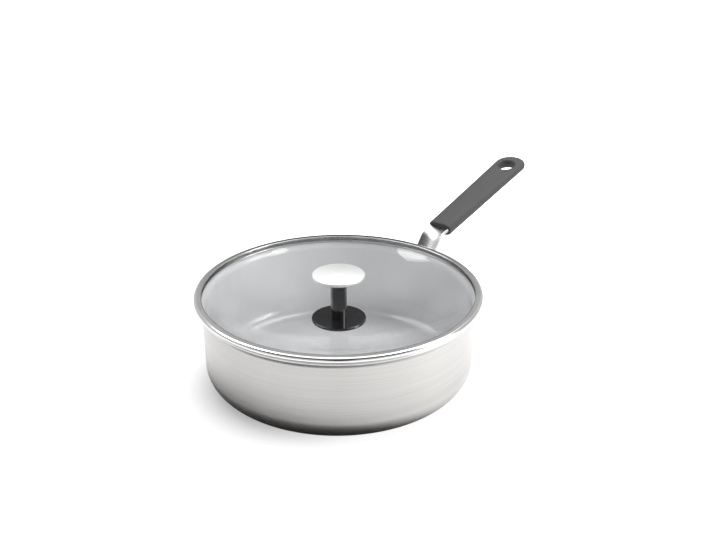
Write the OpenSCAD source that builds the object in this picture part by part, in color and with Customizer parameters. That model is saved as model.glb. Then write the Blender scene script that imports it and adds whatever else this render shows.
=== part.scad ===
// Saute pan with a dished glass lid, a waisted knob and a long soft grip.
// The pan stands on z = 0 with its axis on Z. The handle points along +X.

/* [Pan] */
// Outer radius of the straight wall
wall_r = 122; // [100:1:150]
// Height from the base to the top of the lip
pan_h = 79; // [70:1:100]
// Outer radius of the bottom corner
corner_r = 20; // [12:1:26]
// Thickness of the outer steel ply
outer_ply_t = 0.5; // [0.4:0.1:0.8]
// Thickness of the aluminium ply
core_ply_t = 1.4; // [1:0.1:2]
// Thickness of the inner steel ply
inner_ply_t = 0.4; // [0.3:0.1:0.6]
// Thickness of the non-stick coating
lining_t = 0.1; // [0.08:0.01:0.2]
// Outside radius of the flare under the lip
flare_r = 6; // [4:0.5:8]
// Angle through which the flare turns outward
flare_turn = 60; // [45:1:70]
// Straight run from the flare to the edge of the lip
flare_run = 1.5; // [1:0.25:3]

/* [Lid] */
// How far the steel band stands out past the lip of the pan
band_overhang = 2.1; // [0.5:0.1:5]
// Thickness of the rolled band
band_t = 0.6; // [0.4:0.1:0.8]
// Width of the flat part of the band that covers the glass
band_cover = 4.5; // [3.5:0.25:5.5]
// Thickness of the glass
glass_t = 4; // [3:0.5:5]
// Depth of the dished glass at its centre
dish_depth = 33; // [24:1:34]
// Bend radius where the glass turns down from the band
glass_bend_r = 14; // [10:1:20]
// Radius of the hole through the glass
glass_hole_r = 4; // [3.8:0.1:5]
// Gap between the band and the lip of the pan
seat_gap = 0.3; // [0.2:0.05:0.5]

/* [Knob] */
// Radius of the steel cap
cap_r = 23.75; // [20:0.25:28]
// Thickness of the cap's sheet
cap_t = 0.8; // [0.6:0.1:1.2]
// Height of the cap's edge
cap_edge_h = 2.6; // [2.4:0.1:4]
// Crown height of the cap
cap_crown = 1.6; // [1:0.1:2.6]
// Radius of the base disc
base_disc_r = 24.9; // [20:0.1:28]
// Thickness of the base disc at its centre
base_disc_t = 3.4; // [3:0.1:5]
// Radius of the stem
stem_r = 7.4; // [6.5:0.1:9]
// Height of the stem from the base disc to the underside of the cap
stem_h = 40.6; // [30:1:46]
// Radius of the stem where it flares out under the cap
stem_flare_r = 11.2; // [10.2:0.1:13]
// Height of the flare at the top of the stem
stem_flare_h = 6; // [4:0.5:10]
// Thickness of the plate that backs the cap
cap_plate_t = 1.8; // [1.4:0.1:2.2]
// Depth to which the stem sits in the base disc
stem_seat = 0.9; // [0.5:0.1:1.4]
// Radius of the knob screw's shank
knob_screw_r = 2.5; // [2:0.1:3]
// Length of the knob screw's shank
knob_screw_l = 20; // [17:1:24]
// Thickness of the upper gasket
upper_gasket_t = 0.6; // [0.4:0.1:1.2]
// Radius of the upper gasket
upper_gasket_r = 14; // [10:0.5:18]
// Thickness of the lower gasket
lower_gasket_t = 1.5; // [1:0.1:2.5]
// Radius of the lower gasket
lower_gasket_r = 9; // [8:0.5:12]
// Radius of the washer
washer_r = 7.5; // [6:0.5:9]
// Thickness of the washer
washer_t = 1; // [0.8:0.1:1.6]

/* [Handle arm] */
// Width of the arm
arm_w = 23; // [18:0.5:24]
// Thickness of the arm's sheet
arm_t = 2.5; // [2:0.1:3]
// Radius of the hollow along the arm's top
arm_dish_r = 30; // [24:1:60]
// Tilt of the arm and grip above the horizontal
handle_tilt = 14.7; // [8:0.1:18]
// Tilt of the leg that rises from the wall
leg_tilt = 52; // [48:1:60]
// How far the knee stands out from the wall
knee_reach = 23.6; // [21:0.1:30]
// Height of the knee above the top of the lip
knee_rise = 10.9; // [8:0.1:14]
// Bend radius of the knee
knee_r = 14; // [8:1:18]
// Bend radius where the leg leaves the wall
foot_r = 12; // [8:1:16]
// Distance along the arm from the knee to the grip
arm_len = 12; // [10:0.1:30]
// Width of the flange on the wall
flange_w = 38; // [30:1:50]
// Height of the flange on the wall
flange_h = 34; // [26:1:38]
// Corner radius of the flange
flange_corner_r = 9; // [4:1:12]
// Width of the tang inside the grip
tang_w = 11; // [9:0.5:13]
// Length of the tang inside the grip
tang_l = 92; // [60:1:110]
// Thickness of the tang
tang_t = 2.2; // [1.6:0.1:3]

/* [Grip] */
// Length of the grip
grip_l = 153; // [140:1:190]
// Width of the grip at the pan end
grip_near_w = 26.5; // [25:0.5:30]
// Width of the grip at the hanging end
grip_far_w = 35; // [31:0.5:38]
// Thickness of the grip at the pan end
grip_near_t = 14; // [12.5:0.5:17]
// Thickness of the grip at the hanging end
grip_far_t = 10; // [9:0.5:14]
// Thickness of the soft skin
skin_t = 1.6; // [1.2:0.1:2]
// Length over which the far end rounds off
grip_end_r = 16; // [12:0.5:18]
// Edge radius at the pan end
grip_edge_r = 1.4; // [0.8:0.1:1.8]
// Radius of the hanging hole
hang_r = 8.5; // [5:0.25:9]
// Distance from the far end to the centre of the hanging hole
hang_inset = 22.5; // [21.5:0.5:34]
// Depth of the chamfer round the hanging hole
hang_chamfer = 2.8; // [1:0.1:3]
// Distance from the pan end of the grip to its screw
grip_screw_u = 32; // [24:1:44]
// Radius of the grip screw's shank
grip_screw_r = 1.95; // [1.5:0.05:2]
// Radius of the grip screw's head
grip_screw_head_r = 3.6; // [3.2:0.1:4]

/* [Hidden] */

round_fn = 160;
dish_fn = 640;
small_fn = 64;
overrun = 1;
part_clearance = 0.1;
fit_clearance = 0.05;

sheet_t = outer_ply_t + core_ply_t + inner_ply_t + lining_t;
// Plies as offsets from the outside of the pan
core_o = outer_ply_t;
inner_o = core_o + core_ply_t;
lining_o = inner_o + inner_ply_t;

// Flare and lip
flare_mid_r = flare_r + sheet_t / 2;
flare_start_z = pan_h - sheet_t / 2 - flare_run * cos(flare_turn) - flare_mid_r * sin(flare_turn);
flare_x = wall_r + flare_r;
nose_x = flare_x - flare_mid_r * cos(flare_turn) + flare_run * sin(flare_turn);
nose_z = pan_h - sheet_t / 2;
lip_r = nose_x + sheet_t / 2;
pan_reach = 2 * wall_r;

// Band and glass
band_r = lip_r + band_overhang;
roll_r = glass_t / 2 + band_t;
roll_x = band_r - roll_r;
roll_z = pan_h + seat_gap + roll_r;
glass_turn_x = roll_x - band_cover;
dish_angle = 2 * atan(dish_depth / glass_turn_x);
dish_r = glass_turn_x / sin(dish_angle) - glass_bend_r;
dish_mid_z = roll_z - dish_depth;
dish_centre_z = dish_mid_z + dish_r;
glass_over_r = dish_r - glass_t / 2;
glass_under_r = dish_r + glass_t / 2;

// Knob heights, upward from the glass
gasket_top_z = dish_centre_z - glass_over_r + upper_gasket_t;
disc_top_z = gasket_top_z + base_disc_t;
disc_under_r = glass_over_r - upper_gasket_t;
stem_bottom_z = disc_top_z - stem_seat;
stem_top_z = disc_top_z + stem_h;
plate_bottom_z = stem_top_z - cap_plate_t / 2;
plate_r = cap_r - cap_t;
cap_low_z = plate_bottom_z + cap_plate_t / 3;
cap_edge_z = cap_low_z + cap_edge_h;
cap_round_r = cap_edge_h / 2;
cap_top_r = ((cap_r - cap_round_r) * (cap_r - cap_round_r) + cap_crown * cap_crown) / (2 * cap_crown);
cap_centre_z = cap_edge_z + cap_crown - cap_top_r;
disc_edge_r = base_disc_t / 4;
insert_share = 0.55;
insert_length_share = 0.6;
insert_r = stem_r * insert_share;
insert_h = knob_screw_l * insert_length_share;
insert_low_z = stem_bottom_z + stem_seat / 2;
stem_bore_h = insert_h + 2 * overrun;

// Knob heights, downward from the glass
under_z = dish_centre_z - glass_under_r;
washer_top_z = under_z - lower_gasket_t;
screw_head_z = washer_top_z - washer_t;
head_width_share = 1.9;
head_height_share = 1.2;
screw_head_r = head_width_share * knob_screw_r;
screw_head_h = head_height_share * knob_screw_r;
screw_drive_r = knob_screw_r / 2;
sleeve_r = glass_hole_r - fit_clearance;

// Handle arm, in the X-Z plane. The foot lies a little inside the flange.
foot_share = 0.4;
arm_edge_share = 0.25;
tang_lap_share = 0.2;
tang_lap = tang_lap_share * arm_t;
bend_parts = 7;
strip_parts = 10;
knee = [wall_r + knee_reach, pan_h + knee_rise];
flange_mid_x = wall_r + foot_share * arm_t;
foot = [flange_mid_x, knee[1] - (knee[0] - flange_mid_x) * tan(leg_tilt)];
knee_cut = knee_r * tan((leg_tilt - handle_tilt) / 2);
foot_cut = foot_r * tan((90 - leg_tilt) / 2);
leg_dir = [cos(leg_tilt), sin(leg_tilt)];
arm_dir = [cos(handle_tilt), sin(handle_tilt)];
leg_end = knee - knee_cut * leg_dir;
grip_start = knee + arm_len * arm_dir;
flange_top_z = foot[1] + foot_cut;
flange_low_z = flange_top_z - flange_h;

// Grip
section_points = 32;
near_rings = 3;
body_rings = 8;
end_rings = 7;
end_close_share = 0.985;
end_flat_share = 0.34;
top_power = 3.1;
bottom_power = 2.5;
hang_u = grip_l - hang_inset;
lining_wall_r = hang_r + skin_t;
chamfer_depth_share = 0.9;
hang_edge = min(hang_chamfer, 2 * chamfer_depth_share * skin_t);
nut_h = 2.8;
nut_r = 3.4;
screw_head_cone = 1.7;
screw_sink_share = 0.2;
grip_screw_low = -grip_thick(grip_screw_u) / 2 + screw_sink_share * skin_t;

// Region inside the pan's sheet at an offset inward from its outer surface
module pan_region(inset, extra = 0) {
    difference() {
        union() {
            translate([-extra, inset]) square([wall_r - corner_r + extra, flare_start_z - inset]);
            translate([wall_r - corner_r, corner_r]) circle(corner_r - inset, $fn = round_fn);
            translate([-extra, corner_r]) square([wall_r - inset + extra, flare_start_z - corner_r]);
            translate([-extra, flare_start_z]) square([pan_reach + extra, pan_h + extra]);
        }
        translate([flare_x, flare_start_z]) {
            circle(flare_r + inset, $fn = round_fn);
            rotate(90 - flare_turn) square([pan_reach, flare_r + inset]);
        }
    }
}

// Everything short of the lip's rounded nose
module nose_limit() {
    translate([nose_x, nose_z]) {
        rotate(90 - flare_turn) translate([-2 * pan_reach, -pan_reach])
            square([2 * pan_reach, 2 * pan_reach]);
        circle(sheet_t / 2, $fn = small_fn);
    }
}

// One ply of the pan between two offsets from its outer surface
module ply(from_o, to_o) {
    rotate_extrude($fn = round_fn) difference() {
        intersection() {
            pan_region(from_o);
            nose_limit();
            square([lip_r + overrun, pan_h + overrun]);
        }
        pan_region(to_o, overrun);
    }
}

// Outer steel ply, which is the visible wall, lip and base
module outer_shell() {
    color("gainsboro") ply(0, core_o);
}

// Aluminium ply that spreads the heat
module aluminium_core() {
    color("silver") ply(core_o, inner_o);
}

// Inner steel ply
module inner_shell() {
    color("lightgray") ply(inner_o, lining_o);
}

// Grey non-stick coating
module ceramic_lining() {
    color("darkgray") ply(lining_o, sheet_t);
}

// Solid through a list of rings that all have the same number of points
module loft(rings) {
    count = len(rings[0]);
    last = len(rings) - 1;
    points = [for (ring = rings) for (p = ring) p];
    sides = [for (k = [0:last - 1], i = [0:count - 1])
        let (a = k * count + i, b = k * count + (i + 1) % count)
        for (face = [[a, b + count, b], [a, a + count, b + count]]) face];
    near_face = [for (i = [0:count - 1]) i];
    far_face = [for (i = [0:count - 1]) last * count + count - 1 - i];
    polyhedron(points, concat([near_face], sides, [far_face]));
}

// Section of the pressed strip at a point of the arm: offset towards the hollow top, then width
function strip_section() = let (
    flat_w = arm_w / 2 - arm_edge_share * arm_t,
    half_angle = asin(flat_w / (arm_dish_r + arm_t / 2)),
    angles = [for (i = [0:strip_parts]) half_angle * (1 - 2 * i / strip_parts)],
    edge_n = arm_dish_r * (1 - cos(half_angle))
) concat(
    [for (a = angles) arm_dish_r * [1, 0] - (arm_dish_r - arm_t / 2) * [cos(a), -sin(a)]],
    [[edge_n, -arm_w / 2]],
    [for (a = angles) arm_dish_r * [1, 0] - (arm_dish_r + arm_t / 2) * [cos(a), sin(a)]],
    [[edge_n, arm_w / 2]]
);

// Stations round a bend that turns down from one heading to the next: x, z and heading
function bend_stations(p, radius, from_heading, to_heading) = [
    for (i = [0:bend_parts])
        let (h = from_heading + (to_heading - from_heading) * i / bend_parts)
        [
            p[0] + radius * (sin(from_heading) - sin(h)),
            p[1] + radius * (cos(h) - cos(from_heading)),
            h
        ]
];

// Leg and arm of the bracket, from inside the flange to the grip
module arm_strip() {
    stations = concat(
        bend_stations(foot - [0, foot_cut], foot_r, 90, leg_tilt),
        bend_stations(leg_end, knee_r, leg_tilt, handle_tilt),
        [[grip_start[0], grip_start[1], handle_tilt]]
    );
    section = strip_section();
    loft([for (s = stations) [for (q = section) [s[0] - q[0] * sin(s[2]), q[1], s[1] + q[0] * cos(s[2])]]]);
}

// Rounded plate outline of the flange: x across the handle, y upward
module flange_outline() {
    inner_w = flange_w - 2 * flange_corner_r;
    inner_h = flange_h - 2 * flange_corner_r;
    translate([-flange_w / 2, flange_low_z + flange_corner_r]) square([flange_w, inner_h]);
    translate([-inner_w / 2, flange_low_z]) square([inner_w, flange_h]);
    for (x = [-1, 1], y = [0, 1])
        translate([x * inner_w / 2, flange_low_z + flange_corner_r + y * inner_h])
            circle(flange_corner_r, $fn = small_fn);
}

// Pressed steel flange, leg, arm and tang in one piece
module handle_bracket() {
    color("white") difference() {
        union() {
            intersection() {
                cylinder(h = pan_h, r = wall_r + arm_t, $fn = round_fn);
                rotate([90, 0, 90]) linear_extrude(height = pan_reach) flange_outline();
            }
            arm_strip();
            in_grip() translate([-tang_lap, -tang_w / 2, -tang_t / 2])
                cube([tang_lap + tang_l, tang_w, tang_t]);
        }
        translate([0, 0, -overrun]) cylinder(h = pan_h + overrun, r = wall_r, $fn = round_fn);
        in_grip() translate([grip_screw_u, 0, -tang_t])
            cylinder(h = 2 * tang_t, r = grip_screw_r + fit_clearance, $fn = small_fn);
    }
}

// Places children in the grip's own axes: x along it, y across it, z square to its top
module in_grip() {
    translate([grip_start[0], 0, grip_start[1]]) rotate([0, -handle_tilt, 0]) children();
}

// Width and thickness of the grip at a distance from its pan end
function grip_wide(u) = grip_near_w + (grip_far_w - grip_near_w) * u / grip_l;
function grip_thick(u) = grip_near_t + (grip_far_t - grip_near_t) * u / grip_l;

// Signed power for the rounded-rectangle sections
function soft(v, power) = sign(v) * pow(abs(v), 2 / power);

// One section ring of the grip
function grip_ring(u, half_w, half_t) = [
    for (i = [0:section_points - 1])
        let (a = 360 * i / section_points, power = sin(a) >= 0 ? top_power : bottom_power)
        [u, half_w * soft(cos(a), power), half_t * soft(sin(a), power)]
];

// All section rings of the grip, drawn in by an inset on every side
function grip_rings(inset) = let (
    edge = max(grip_edge_r - inset, grip_edge_r / 4),
    end_r = grip_end_r - inset,
    start_u = inset,
    body_u = start_u + edge,
    end_u = grip_l - grip_end_r
) concat(
    [for (i = [0:near_rings]) let (
        a = 90 * i / near_rings,
        u = body_u - edge * cos(a),
        cut = inset + edge * (1 - sin(a))
    ) grip_ring(u, grip_wide(u) / 2 - cut, grip_thick(u) / 2 - cut)],
    [for (i = [1:body_rings]) let (u = body_u + (end_u - body_u) * i / body_rings)
        grip_ring(u, grip_wide(u) / 2 - inset, grip_thick(u) / 2 - inset)],
    [for (i = [1:end_rings]) let (
        a = asin(end_close_share * i / end_rings),
        u = end_u + end_r * sin(a),
        wide = (grip_wide(u) / 2 - inset) * cos(a),
        thick = (grip_thick(u) / 2 - inset) * (end_flat_share + (1 - end_flat_share) * cos(a))
    ) grip_ring(u, wide, thick)]
);

// Solid of the grip, drawn in by an inset
module grip_solid(inset) {
    loft(grip_rings(inset));
}

// Upright cylinder through the grip at a distance along it
module grip_bore(u, r) {
    translate([u, 0, -grip_near_t]) cylinder(h = 2 * grip_near_t, r = r, $fn = small_fn);
}

// Room for the arm's tang and the nut below it
module tang_room() {
    translate([-overrun, -tang_w / 2 - part_clearance, -tang_t / 2 - part_clearance])
        cube([overrun + tang_l + part_clearance, tang_w + 2 * part_clearance, tang_t + 2 * part_clearance]);
    translate([grip_screw_u, 0, -tang_t / 2 - nut_h - part_clearance])
        cylinder(h = nut_h + tang_t / 2 + part_clearance, r = nut_r + part_clearance, $fn = small_fn);
}

// Seat for the grip screw: a cone for its head and a bore for its shank
module grip_screw_seat() {
    translate([grip_screw_u, 0, grip_screw_low]) {
        cylinder(h = screw_head_cone, r1 = grip_screw_head_r + fit_clearance,
            r2 = grip_screw_r + fit_clearance, $fn = small_fn);
        translate([0, 0, -grip_near_t])
            cylinder(h = grip_near_t, r = grip_screw_head_r + fit_clearance, $fn = small_fn);
        cylinder(h = grip_near_t / 2, r = grip_screw_r + fit_clearance, $fn = small_fn);
    }
}

// Rigid core of the grip
module grip_core() {
    color("dimgray") in_grip() difference() {
        grip_solid(skin_t);
        tang_room();
        grip_bore(hang_u, lining_wall_r);
        grip_screw_seat();
    }
}

// Soft skin over the core, with the hanging hole
module grip_skin() {
    color("dimgray") in_grip() difference() {
        grip_solid(0);
        difference() {
            grip_solid(skin_t);
            grip_bore(hang_u, lining_wall_r);
        }
        tang_room();
        grip_screw_seat();
        grip_bore(hang_u, hang_r);
        for (side = [0, 180]) translate([hang_u, 0, 0]) rotate([side, 0, 0])
            translate([0, 0, grip_thick(hang_u) / 2 - hang_edge])
                cylinder(h = 2 * hang_edge, r1 = hang_r, r2 = hang_r + 2 * hang_edge, $fn = small_fn);
    }
}

// Clinch nut under the tang
module tang_nut() {
    color("silver") in_grip() translate([grip_screw_u, 0, -tang_t / 2 - nut_h]) difference() {
        cylinder(h = nut_h, r = nut_r, $fn = small_fn);
        translate([0, 0, -overrun]) cylinder(h = nut_h + 2 * overrun, r = grip_screw_r + fit_clearance,
            $fn = small_fn);
    }
}

// Countersunk screw that holds the grip on the tang
module grip_screw() {
    shank_l = -grip_screw_low + tang_t / 4;
    color("silver") in_grip() translate([grip_screw_u, 0, grip_screw_low]) difference() {
        union() {
            cylinder(h = screw_head_cone, r1 = grip_screw_head_r, r2 = grip_screw_r, $fn = small_fn);
            cylinder(h = shank_l, r = grip_screw_r, $fn = small_fn);
        }
        translate([0, 0, -overrun])
            cylinder(h = overrun + screw_head_cone / 2, r = grip_screw_r / 2, $fn = 6);
    }
}

// Section of the glass: a shallow dish, a bend and a flat margin with a round edge
module glass_section() {
    wedge = 2 * dish_r;
    intersection() {
        translate([0, dish_centre_z]) difference() {
            circle(glass_under_r, $fn = dish_fn);
            circle(glass_over_r, $fn = dish_fn);
        }
        translate([0, dish_centre_z])
            polygon([[0, 0], [0, -wedge], [wedge * tan(dish_angle), -wedge]]);
    }
    intersection() {
        translate([glass_turn_x, roll_z - glass_bend_r]) difference() {
            circle(glass_bend_r + glass_t / 2, $fn = round_fn);
            circle(glass_bend_r - glass_t / 2, $fn = round_fn);
        }
        translate([glass_turn_x, roll_z - glass_bend_r])
            polygon([[0, 0], [0, 2 * glass_bend_r], [-2 * glass_bend_r * tan(dish_angle), 2 * glass_bend_r]]);
    }
    translate([glass_turn_x, roll_z - glass_t / 2]) square([band_cover, glass_t]);
    translate([roll_x, roll_z]) circle(glass_t / 2, $fn = small_fn);
}

// Dished glass with a hole for the knob screw
module lid_glass() {
    color("lightcyan", 0.35) difference() {
        rotate_extrude($fn = round_fn) glass_section();
        translate([0, 0, under_z - overrun])
            cylinder(h = glass_t + 2 * overrun, r = glass_hole_r, $fn = small_fn);
    }
}

// Steel band rolled round the edge of the glass
module lid_band() {
    color("whitesmoke") rotate_extrude($fn = round_fn) translate([roll_x, roll_z]) difference() {
        union() {
            circle(roll_r, $fn = small_fn);
            translate([-band_cover, -roll_r]) square([band_cover, 2 * roll_r]);
        }
        circle(glass_t / 2, $fn = small_fn);
        translate([-band_cover - overrun, -glass_t / 2]) square([band_cover + overrun, glass_t]);
    }
}

// Washer between the base disc and the glass, following the glass
module upper_gasket() {
    color("dimgray") rotate_extrude($fn = round_fn) difference() {
        intersection() {
            translate([0, dish_centre_z]) circle(glass_over_r - fit_clearance, $fn = dish_fn);
            translate([sleeve_r, under_z]) square([upper_gasket_r - sleeve_r, disc_top_z - under_z]);
        }
        translate([0, dish_centre_z]) circle(disc_under_r, $fn = dish_fn);
    }
}

// Black base disc of the knob, hollowed below to follow the glass
module knob_base() {
    color("black") rotate_extrude($fn = round_fn) difference() {
        intersection() {
            translate([0, dish_centre_z]) circle(disc_under_r, $fn = dish_fn);
            union() {
                translate([0, under_z]) square([base_disc_r - disc_edge_r, disc_top_z - under_z]);
                translate([0, under_z]) square([base_disc_r, disc_top_z - disc_edge_r - under_z]);
                translate([base_disc_r - disc_edge_r, disc_top_z - disc_edge_r])
                    circle(disc_edge_r, $fn = small_fn);
            }
        }
        translate([-overrun, under_z - overrun])
            square([overrun + knob_screw_r + fit_clearance, disc_top_z - under_z + 2 * overrun]);
        translate([-overrun, stem_bottom_z])
            square([overrun + stem_r + part_clearance, stem_seat + overrun]);
    }
}

// Black stem with its flare and the plate that backs the cap
module knob_stem() {
    flare_w = stem_flare_r - stem_r;
    color("black") rotate_extrude($fn = round_fn) difference() {
        union() {
            translate([0, stem_bottom_z]) square([stem_r, plate_bottom_z - stem_bottom_z]);
            difference() {
                translate([0, plate_bottom_z - stem_flare_h]) square([stem_flare_r, stem_flare_h]);
                translate([stem_r + stem_flare_h, plate_bottom_z - stem_flare_h])
                    circle(stem_flare_h, $fn = small_fn);
            }
            translate([0, plate_bottom_z]) square([plate_r, cap_edge_z - plate_bottom_z - cap_t]);
        }
        translate([-overrun, stem_bottom_z - overrun])
            square([overrun + knob_screw_r + part_clearance, stem_bore_h + overrun + stem_seat]);
        translate([-overrun, insert_low_z]) square([overrun + insert_r, insert_h]);
    }
}

// Threaded insert moulded into the stem
module knob_insert() {
    color("goldenrod") translate([0, 0, insert_low_z]) difference() {
        cylinder(h = insert_h, r = insert_r, $fn = small_fn);
        translate([0, 0, -overrun]) cylinder(h = insert_h + 2 * overrun, r = knob_screw_r + fit_clearance,
            $fn = small_fn);
    }
}

// Outline of the cap above a radius inset from its outside
module cap_outline(inset) {
    intersection() {
        union() {
            translate([0, cap_low_z - overrun])
                square([cap_r - inset, cap_edge_z - cap_round_r - cap_low_z + overrun]);
            translate([0, cap_low_z - overrun])
                square([cap_r - cap_round_r, cap_edge_z - inset - cap_low_z + overrun]);
            translate([cap_r - cap_round_r, cap_edge_z - cap_round_r])
                circle(cap_round_r - inset, $fn = small_fn);
        }
        translate([0, cap_low_z]) square([cap_r, 2 * cap_edge_h]);
    }
}

// Polished steel cap, slightly crowned
module knob_cap() {
    color("white") rotate_extrude($fn = round_fn) difference() {
        union() {
            cap_outline(0);
            intersection() {
                translate([0, cap_centre_z]) circle(cap_top_r, $fn = dish_fn);
                translate([0, cap_edge_z - cap_t]) square([cap_r - cap_round_r, cap_crown + 2 * cap_t]);
            }
        }
        translate([-overrun, plate_bottom_z - overrun])
            square([overrun + plate_r, cap_edge_z - cap_t - plate_bottom_z + overrun]);
    }
}

// Washer under the glass, with a sleeve that lines the hole in the glass
module lower_gasket() {
    sleeve_top_z = under_z + glass_t - part_clearance;
    color("dimgray") rotate_extrude($fn = round_fn) difference() {
        union() {
            difference() {
                translate([0, washer_top_z]) square([
                    lower_gasket_r,
                    lower_gasket_t + lower_gasket_r * lower_gasket_r / glass_under_r
                ]);
                translate([0, dish_centre_z]) circle(glass_under_r, $fn = dish_fn);
            }
            translate([0, washer_top_z]) square([sleeve_r, sleeve_top_z - washer_top_z]);
        }
        translate([-overrun, washer_top_z - overrun])
            square([overrun + knob_screw_r + fit_clearance, sleeve_top_z - washer_top_z + 2 * overrun]);
    }
}

// Steel washer between the gasket and the screw head
module screw_washer() {
    color("silver") translate([0, 0, screw_head_z]) difference() {
        cylinder(h = washer_t, r = washer_r, $fn = small_fn);
        translate([0, 0, -overrun]) cylinder(h = washer_t + 2 * overrun, r = knob_screw_r + fit_clearance,
            $fn = small_fn);
    }
}

// Screw that clamps the knob through the glass
module knob_screw() {
    color("silver") translate([0, 0, screw_head_z]) difference() {
        union() {
            cylinder(h = knob_screw_l, r = knob_screw_r, $fn = small_fn);
            translate([0, 0, -screw_head_h]) cylinder(h = screw_head_h, r = screw_head_r, $fn = small_fn);
        }
        translate([0, 0, -screw_head_h - overrun])
            cylinder(h = overrun + screw_head_h / 2, r = screw_drive_r, $fn = 6);
    }
}

outer_shell();
aluminium_core();
inner_shell();
ceramic_lining();
handle_bracket();
tang_nut();
grip_core();
grip_skin();
grip_screw();
lid_glass();
lid_band();
upper_gasket();
knob_base();
knob_stem();
knob_insert();
knob_cap();
lower_gasket();
screw_washer();
knob_screw();
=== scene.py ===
"""Dresses the packed saute pan: turned steel pan, dished glass lid, knob, bracket and soft grip."""

import math

import bmesh
import bpy
from bpy.props import FloatProperty, FloatVectorProperty, PointerProperty
from mathutils import Matrix, Vector


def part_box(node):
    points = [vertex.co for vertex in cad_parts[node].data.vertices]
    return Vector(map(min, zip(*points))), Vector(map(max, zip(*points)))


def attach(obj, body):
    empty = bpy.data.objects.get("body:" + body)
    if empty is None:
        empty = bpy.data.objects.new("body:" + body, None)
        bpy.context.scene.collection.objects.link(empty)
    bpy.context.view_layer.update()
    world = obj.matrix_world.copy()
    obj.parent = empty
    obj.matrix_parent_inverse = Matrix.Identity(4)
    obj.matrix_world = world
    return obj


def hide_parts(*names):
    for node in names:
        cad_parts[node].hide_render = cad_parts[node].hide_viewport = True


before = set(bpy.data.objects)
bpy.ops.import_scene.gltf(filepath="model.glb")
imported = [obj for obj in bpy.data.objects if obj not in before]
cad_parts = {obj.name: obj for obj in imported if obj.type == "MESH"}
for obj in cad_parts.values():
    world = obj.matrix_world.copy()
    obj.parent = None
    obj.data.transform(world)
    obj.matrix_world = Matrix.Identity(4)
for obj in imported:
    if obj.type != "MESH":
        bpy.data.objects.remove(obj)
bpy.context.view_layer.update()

bl_info = {
    "name": "Saute pan with glass lid",
    "version": (1, 0, 0),
    "blender": (4, 5, 0),
    "location": "View3D > Sidebar > Saute pan",
    "description": "Builds the looks of a covered saute pan around its packed solids",
    "category": "Object",
}

MM = 0.001

# how pieces are turned and joined
TURN_STEPS = 240
RIM_STEPS = 288  # for the glass and the band, whose rim shows one long bright line
PATH_R = 0.1  # radius of the circle that outlines are swept along
SMOOTH_ANGLE = math.radians(32)
LEAD = 0.5 * MM  # distance of a straight run's support points from its ends
WELD = 0.002 * MM  # points of a turned piece closer than this become one
GAP = 0.1 * MM  # play round what is set into another piece

# places in the knob, the bracket and the grip that follow the packed solids
INSERT_SHARE = 0.55  # radius of the knob's insert as a share of the stem's
INSERT_LENGTH = 12 * MM
SCREW_ROOM = 2 * MM  # free bore above the insert
NECK = (-1 * MM, 13 * MM)  # from where to where the bracket narrows, along the sheet from the foot's bend
TANG_STEP = 0.02 * MM  # length of the step down to the tang's width
TANG_HOLLOW_R = 400 * MM  # all but flat
SEAT_CONE = 1.7 * MM  # depth of the cone under the grip screw's head
MARGIN = 4 * MM  # how far a cutter stands out of the grip

# where the stage's painted shades, lifts and glows begin and end, as distances and as parts of a direction
SEEN_TONE = (0.13, 0.25)
SEEN_LIFT = (0.055, 0.112)
FAR_LIFT = (0.16, 0.60)
MIRRORED_TONE = (0.097, 0.135)
MIRRORED_LIFT = (0.103, 0.145)
SIDE_LIFT = (0.02, 0.22)
OVERHEAD = (0, 0.40, 0.917)
OVERHEAD_GLOW = (0.74, 0.98)
SIDE_GLOW = (0.05, 0.24)
SIDE_GLOW_TOP = (0.4, 0.7)

FLOOR_HALF = 6.0  # half the floor's side
FLOOR_DROP = 0.15 * MM  # how far the floor lies under the base

# name, brightness setting, width, height and place of each lamp
LAMPS = (("key", "key_light", 0.66, 0.66, (0.63, 0.31, 1.32)),
         ("fill", "fill_light", 0.8, 0.8, (-0.75, 0.46, 1.20)),
         ("side", "side_light", 0.66, 0.62, (1.27, -0.2, 0.80)))
LAMP_AIM = (0, 0, 0.05)


# ---------------------------------------------------------------- sizes and colours a user may change


def length(name, description, default):
    return FloatProperty(name=name, description=description, default=default * MM, min=0.0, precision=5,
                         unit="LENGTH")


def angle(name, description, degrees):
    return FloatProperty(name=name, description=description, default=math.radians(degrees), subtype="ANGLE")


def colour(name, description, default):
    return FloatVectorProperty(name=name, description=description, default=default, size=3, min=0.0, max=1.0,
                               subtype="COLOR")


def share(name, description, default, high=1.0):
    return FloatProperty(name=name, description=description, default=default, min=0.0, max=high,
                         subtype="FACTOR")


def shift(name, description, default):
    return FloatVectorProperty(name=name, description=description, size=2, unit="LENGTH",
                               default=[MM * part for part in default])


class PanSizes(bpy.types.PropertyGroup):
    """Sizes of the clad pan"""

    wall_r: length("Wall radius", "Outer radius of the straight wall", 122)
    height: FloatProperty(name="Height", description="Height from the base to the top of the lip",
                          default=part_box("ceramic_lining")[1][2], unit="LENGTH")
    corner_r: length("Corner radius", "Outer radius of the bottom corner", 20)
    outer_ply: length("Outer ply", "Thickness of the outer steel ply", 0.5)
    core_ply: length("Core ply", "Thickness of the aluminium ply", 1.4)
    inner_ply: length("Inner ply", "Thickness of the inner steel ply", 0.4)
    lining: length("Lining", "Thickness of the non-stick coating", 0.1)
    flare_r: length("Flare radius", "Outside radius of the flare under the lip", 6)
    flare_turn: angle("Flare turn", "Angle through which the flare turns outward", 60)
    flare_run: length("Flare run", "Straight run from the flare to the edge of the lip", 1.5)


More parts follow.
